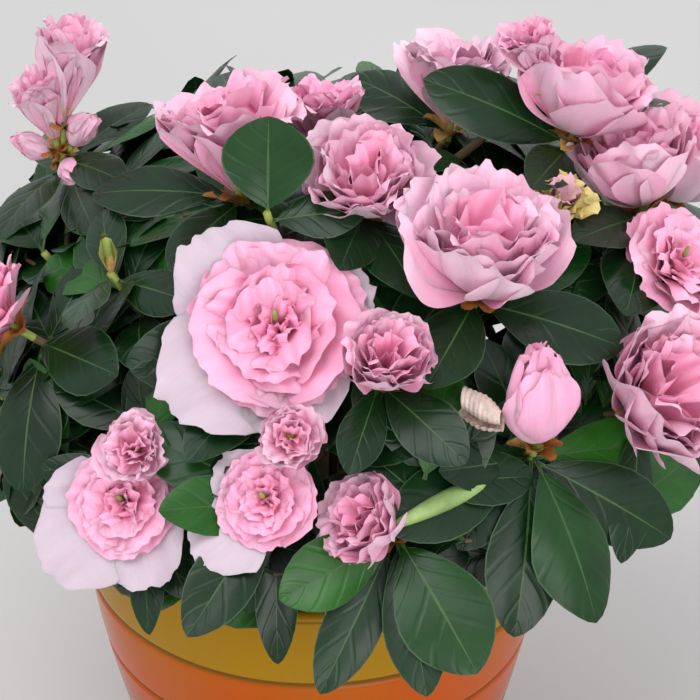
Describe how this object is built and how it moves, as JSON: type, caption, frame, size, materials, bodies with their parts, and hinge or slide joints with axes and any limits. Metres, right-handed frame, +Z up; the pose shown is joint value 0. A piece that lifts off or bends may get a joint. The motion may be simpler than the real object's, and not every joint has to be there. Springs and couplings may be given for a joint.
{
  "type": "potted azalea shrub",
  "caption": "Domed flowering azalea shrub with double ruffled blooms and dark oval leaves, standing in its glazed round pot.",
  "frame": {"origin": "centre of the pot's flat underside", "axes": "+Z up along the pot's axis, +X to the right and +Y away from the viewer"},
  "size_m": [0.2678, 0.2621, 0.2771],
  "materials": {
    "glaze": "gloss",
    "soil": "matte",
    "bark": "matte",
    "foliage": "satin"
  },
  "bodies": {
    "root": {"pot": "glaze", "soil": "soil", "trunk": "bark", "bough_top": "bark", "bough_front": "bark", "bough_front_right": "bark", "bough_right": "bark", "bough_back_right": "bark", "bough_back": "bark", "bough_back_left": "bark", "bough_left": "bark", "bough_front_left": "bark", "foliage_top": "foliage", "foliage_front": "foliage", "foliage_front_right": "foliage", "foliage_right": "foliage", "foliage_back_right": "foliage", "foliage_back": "foliage", "foliage_back_left": "foliage", "foliage_left": "foliage", "foliage_front_left": "foliage"}
  },
  "joints": []
}
